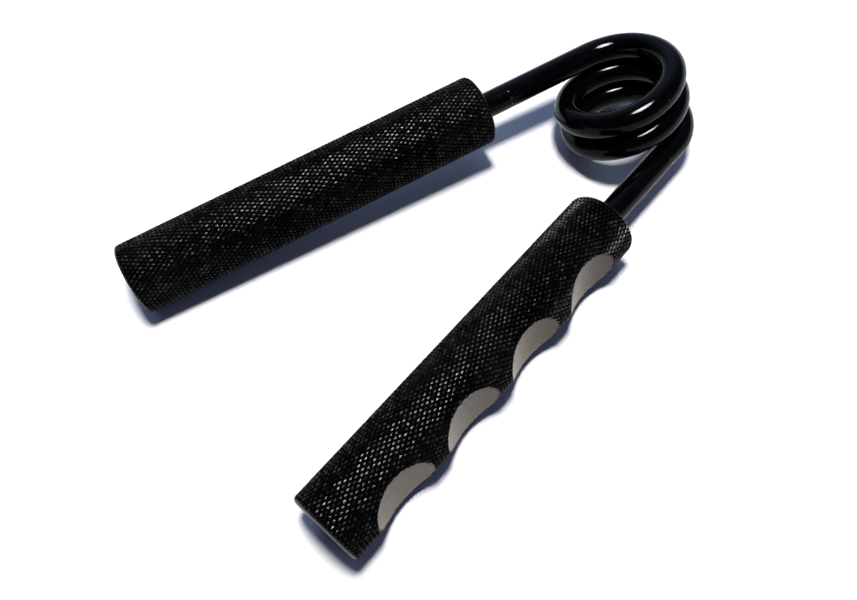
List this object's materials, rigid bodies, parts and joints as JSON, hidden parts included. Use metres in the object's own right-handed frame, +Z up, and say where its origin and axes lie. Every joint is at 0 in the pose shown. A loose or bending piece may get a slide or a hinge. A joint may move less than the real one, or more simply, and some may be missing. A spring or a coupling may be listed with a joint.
{
  "type": "hand grip strengthener",
  "caption": "Hand grip strengthener: a torsion spring of thick black wire between two knurled bar handles, one scooped for the fingers.",
  "frame": {"origin": "on the table, under the middle of the bounding box, with the gripper lying as it rests on its coil and the free ends of both handles", "axes": "+Z up from the table; the grooved handle lies along X with its free end towards -X and its grooves facing -Y; the coil is at +X"},
  "size_m": [0.1761, 0.1142, 0.0333],
  "materials": {
    "handle_anodised": "black anodised, diamond knurled; bare satin metal in the finger grooves",
    "spring_black": "gloss black coating over spring steel"
  },
  "bodies": {
    "grooved_side": {"grooved_handle": "handle_anodised", "lower_leg": "spring_black"},
    "plain_side": {"plain_handle": "handle_anodised", "upper_leg": "spring_black", "spring_coil": "spring_black"}
  },
  "joints": [
    {"name": "squeeze", "type": "hinge", "parent": "grooved_side", "child": "plain_side", "pos_m": [0.06735, -0.02582, 0.01633], "axis": [-0.0467, 0.3922, 0.9187], "range_deg": [0, 23], "stiffness_Nm_per_rad": 140, "deforming": ["spring_coil"]}
  ]
}
